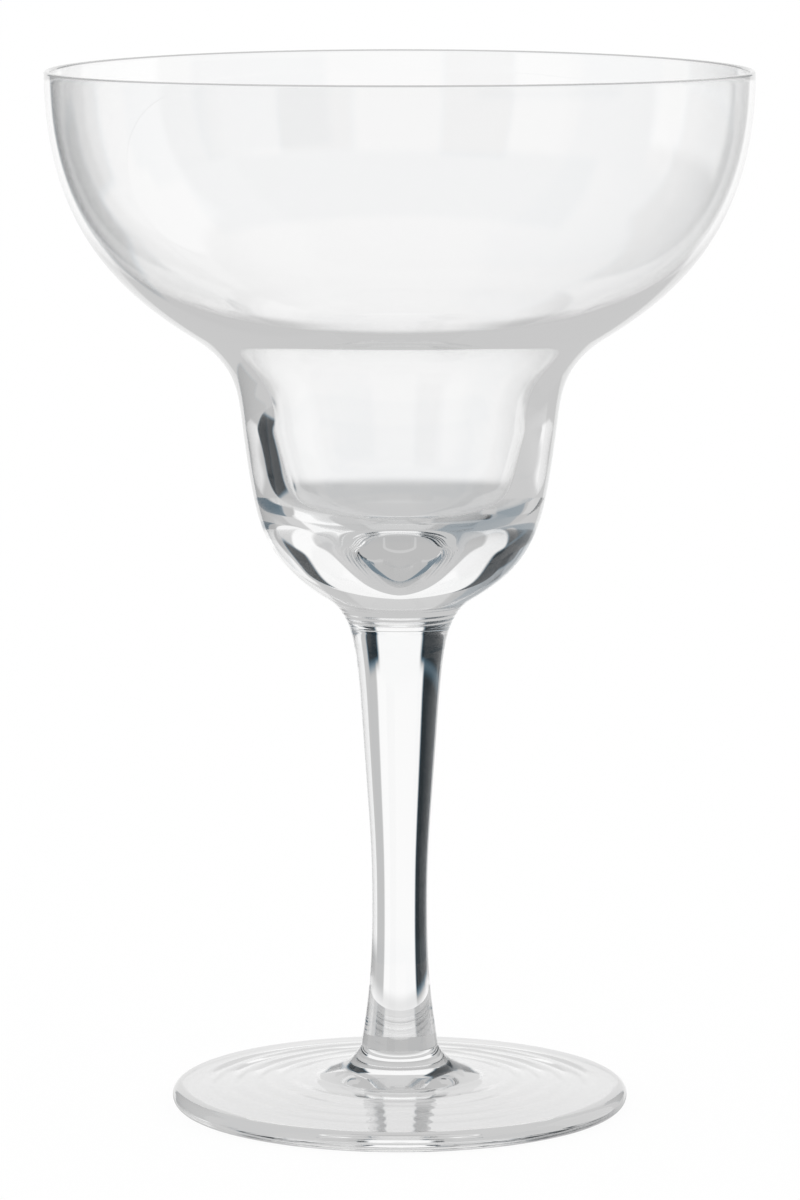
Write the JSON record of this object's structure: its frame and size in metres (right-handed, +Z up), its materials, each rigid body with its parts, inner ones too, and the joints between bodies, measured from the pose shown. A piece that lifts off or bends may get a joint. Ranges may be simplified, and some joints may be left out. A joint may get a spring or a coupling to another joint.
{
  "type": "margarita glass",
  "caption": "Clear stemmed cocktail glass: wide round bowl stepping in to a narrow heavy-based cup, on a waisted solid stem and a round flat foot.",
  "frame": {"origin": "on the table, at the middle of the foot", "axes": "+Z up along the axis of the stem and bowl, towards the rim; the glass is round about it, so +X and +Y are any two level directions, and the picture is taken from -Y"},
  "size_m": [0.1176, 0.1176, 0.175],
  "materials": {
    "bowl_glass": "clear, fire polished",
    "stem_glass": "clear, fire polished",
    "foot_glass": "clear, fire polished"
  },
  "bodies": {
    "root": {"bowl": "bowl_glass", "stem": "stem_glass", "foot": "foot_glass"}
  },
  "joints": []
}
